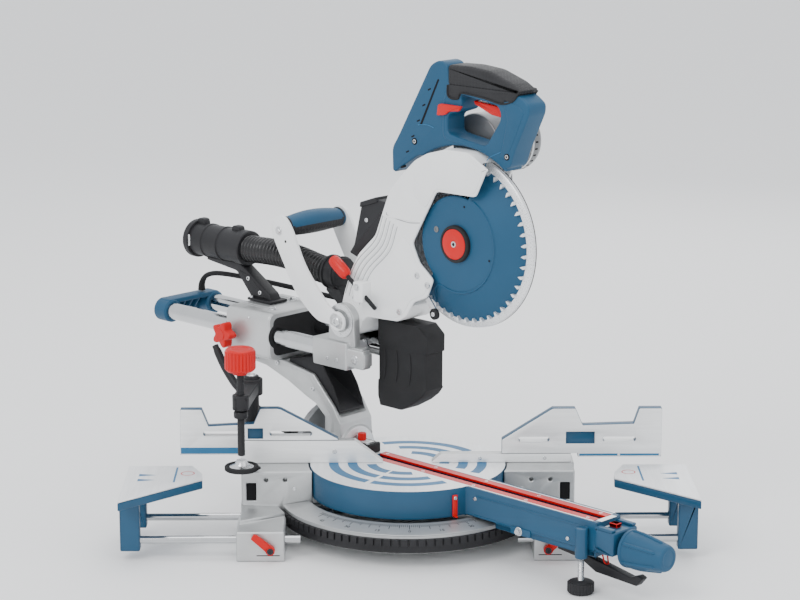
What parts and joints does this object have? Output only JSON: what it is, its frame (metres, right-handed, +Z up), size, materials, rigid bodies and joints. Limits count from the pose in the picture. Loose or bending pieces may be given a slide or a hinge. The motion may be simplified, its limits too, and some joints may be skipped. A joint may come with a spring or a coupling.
{
  "type": "sliding mitre saw",
  "caption": "Sliding compound mitre saw with a tilting, chopping head on twin rails, a rotating table with long arm, sliding fences, pull-out supports and a hold-down clamp.",
  "frame": {"origin": "mitre axis at the level the saw stands on", "axes": "X to the right along the fence, Y away from the operator, Z up; table set at 45 degrees, so the table arm points along +X -Y"},
  "size_m": [0.742, 0.6753, 0.637],
  "materials": {
    "blue_paint": "satin",
    "blue_plastic": "satin",
    "red_plastic": "satin",
    "black_plastic": "satin",
    "black_rubber": "matte",
    "white_paint": "satin",
    "cast_aluminium": "satin",
    "machined_aluminium": "satin",
    "chromed_steel": "polished",
    "bright_steel": "satin",
    "grey_plastic": "satin"
  },
  "bodies": {
    "base": {"base_casting": "cast_aluminium", "mitre_scale": "machined_aluminium", "detent_plate": "black_plastic", "fixed_fence_left": "machined_aluminium", "fixed_fence_right": "machined_aluminium", "clamp_post": "black_plastic"},
    "fence_left": {"sliding_fence_left": "machined_aluminium"},
    "fence_right": {"sliding_fence_right": "machined_aluminium"},
    "extension_left": {"extension_body_left": "blue_paint", "extension_plate_left": "machined_aluminium", "extension_tube_front_left": "bright_steel", "extension_tube_rear_left": "bright_steel"},
    "extension_right": {"extension_body_right": "blue_paint", "extension_plate_right": "machined_aluminium", "extension_tube_front_right": "bright_steel", "extension_tube_rear_right": "bright_steel"},
    "lever_left": {"extension_lever_left": "red_plastic"},
    "lever_right": {"extension_lever_right": "red_plastic"},
    "clamp_swivel": {"clamp_arm": "black_plastic"},
    "clamp_screw": {"clamp_spindle": "black_plastic", "clamp_wheel": "red_plastic", "clamp_foot": "bright_steel"},
    "table": {"turntable": "blue_paint", "kerf_insert_near": "red_plastic", "kerf_insert_far": "red_plastic", "mitre_pointer": "red_plastic", "bevel_quadrant": "grey_plastic", "kerf_pointer_block": "black_plastic"},
    "bevel_stop": {"bevel_stop_knob": "red_plastic"},
    "mitre_knob": {"mitre_lock_knob": "blue_plastic"},
    "detent": {"detent_lever": "black_plastic"},
    "detent_tab": {"detent_lock_tab": "red_plastic"},
    "anti_tip": {"anti_tip_screw": "black_plastic"},
    "arm": {"bevel_arm": "cast_aluminium", "chip_deflector": "black_plastic", "rail_housing": "cast_aluminium", "dust_adapter": "black_plastic", "dust_hose": "black_rubber"},
    "slide_lock": {"slide_lock_knob": "red_plastic"},
    "bevel_lock": {"bevel_lock_lever": "black_plastic"},
    "slide": {"slide_rail_near": "chromed_steel", "slide_rail_far": "chromed_steel", "rail_end_cap": "blue_plastic", "carriage_fork": "cast_aluminium", "hose_connector": "black_plastic", "power_lead": "black_rubber"},
    "head": {"upper_guard": "white_paint", "chop_pin": "bright_steel", "handle_housing": "blue_plastic", "handle_grip": "black_rubber", "motor_housing": "grey_plastic", "dust_chute": "black_rubber", "carry_handle": "white_paint"},
    "trigger_switch": {"trigger": "red_plastic"},
    "lock_off": {"lock_off_lever": "red_plastic"},
    "depth_stop": {"depth_stop_screw": "red_plastic"},
    "guard": {"lower_guard": "blue_plastic", "guard_hub": "red_plastic"},
    "blade": {"saw_blade": "bright_steel", "arbor_flanges": "bright_steel"}
  },
  "joints": [
    {"name": "fence_left_slide", "type": "slide", "parent": "base", "child": "fence_left", "axis": [1, 0, 0], "range_m": [-0.05, 0]},
    {"name": "fence_right_slide", "type": "slide", "parent": "base", "child": "fence_right", "axis": [1, 0, 0], "range_m": [-0.008, 0.05]},
    {"name": "extension_left_slide", "type": "slide", "parent": "base", "child": "extension_left", "axis": [1, 0, 0], "range_m": [-0.06, 0.045]},
    {"name": "extension_right_slide", "type": "slide", "parent": "base", "child": "extension_right", "axis": [1, 0, 0], "range_m": [-0.045, 0.06]},
    {"name": "extension_left_lock", "type": "hinge", "parent": "base", "child": "lever_left", "pos_m": [-0.178, -0.138, 0.017], "axis": [0, 1, 0], "range_deg": [-40, 20]},
    {"name": "extension_right_lock", "type": "hinge", "parent": "base", "child": "lever_right", "pos_m": [0.178, -0.138, 0.017], "axis": [0, 1, 0], "range_deg": [-20, 40]},
    {"name": "clamp_turn", "type": "hinge", "parent": "base", "child": "clamp_swivel", "pos_m": [-0.208, 0.034, 0.2], "axis": [0, 0, 1], "range_deg": [-35, 20]},
    {"name": "clamp_press", "type": "slide", "parent": "clamp_swivel", "child": "clamp_screw", "axis": [0, 0, 1], "range_m": [-0.005, 0.025]},
    {"name": "mitre_turn", "type": "hinge", "parent": "base", "child": "table", "pos_m": [0, 0, 0.092], "axis": [0, 0, 1], "range_deg": [-97, 15]},
    {"name": "bevel_stop_turn", "type": "hinge", "parent": "table", "child": "bevel_stop", "pos_m": [-0.06081, 0.06081, 0.11], "axis": [0, 0, 1], "range_deg": [-90, 90]},
    {"name": "mitre_knob_turn", "type": "hinge", "parent": "table", "child": "mitre_knob", "pos_m": [0.28284, -0.28284, 0.062], "axis": [0.7071, -0.7071, 0], "range_deg": [-90, 90]},
    {"name": "detent_press", "type": "hinge", "parent": "table", "child": "detent", "pos_m": [0.23335, -0.23335, 0.028], "axis": [-0.7071, -0.7071, 0], "range_deg": [0, 4], "stiffness_Nm_per_rad": 2, "springref_deg": -5.73},
    {"name": "detent_tab_slide", "type": "slide", "parent": "table", "child": "detent_tab", "axis": [0.7071, -0.7071, 0], "range_m": [0, 0.006]},
    {"name": "anti_tip_raise", "type": "slide", "parent": "table", "child": "anti_tip", "axis": [0, 0, 1], "range_m": [0, 0.012]},
    {"name": "bevel_turn", "type": "hinge", "parent": "table", "child": "arm", "pos_m": [0, 0, 0.092], "axis": [-0.7071, 0.7071, 0], "range_deg": [-24, 2]},
    {"name": "slide_lock_turn", "type": "hinge", "parent": "arm", "child": "slide_lock", "pos_m": [-0.24324, 0.15839, 0.232], "axis": [0.7071, 0.7071, 0], "range_deg": [-180, 180]},
    {"name": "bevel_lock_turn", "type": "hinge", "parent": "arm", "child": "bevel_lock", "pos_m": [-0.12021, 0.12021, 0.092], "axis": [-0.7071, 0.7071, 0], "range_deg": [-20, 12]},
    {"name": "rail_slide", "type": "slide", "parent": "arm", "child": "slide", "axis": [-0.7071, 0.7071, 0], "range_m": [-0.1, 0.08], "deforming": ["dust_hose"]},
    {"name": "chop", "type": "hinge", "parent": "slide", "child": "head", "pos_m": [-0.05374, 0.05374, 0.282], "axis": [0.7071, 0.7071, 0], "range_deg": [0, 57], "stiffness_Nm_per_rad": 9, "springref_deg": -80.21, "deforming": ["dust_chute"]},
    {"name": "trigger_squeeze", "type": "hinge", "parent": "head", "child": "trigger_switch", "pos_m": [0.08627, -0.08627, 0.589], "axis": [-0.7071, -0.7071, 0], "range_deg": [0, 7], "stiffness_Nm_per_rad": 0.5, "springref_deg": -8.59},
    {"name": "lock_off_press", "type": "hinge", "parent": "head", "child": "lock_off", "pos_m": [0.04031, -0.06718, 0.575], "axis": [0.7071, 0.7071, 0], "range_deg": [0, 12], "stiffness_Nm_per_rad": 0.3, "springref_deg": -5.73},
    {"name": "depth_stop_turn", "type": "hinge", "parent": "head", "child": "depth_stop", "pos_m": [-0.06152, 0.00212, 0.32455], "axis": [0.5798, -0.5798, -0.5723], "range_deg": [-180, 180]},
    {"name": "guard_turn", "type": "hinge", "parent": "head", "child": "guard", "pos_m": [0.07707, -0.07707, 0.408], "axis": [0.7071, 0.7071, 0], "range_deg": [-130, 0]},
    {"name": "blade_spin", "type": "hinge", "parent": "head", "child": "blade", "pos_m": [0.07707, -0.07707, 0.408], "axis": [0.7071, 0.7071, 0], "continuous": true}
  ],
  "couplings": [
    {"joint": "guard_turn", "follows": "chop", "ratio": -2.28}
  ]
}
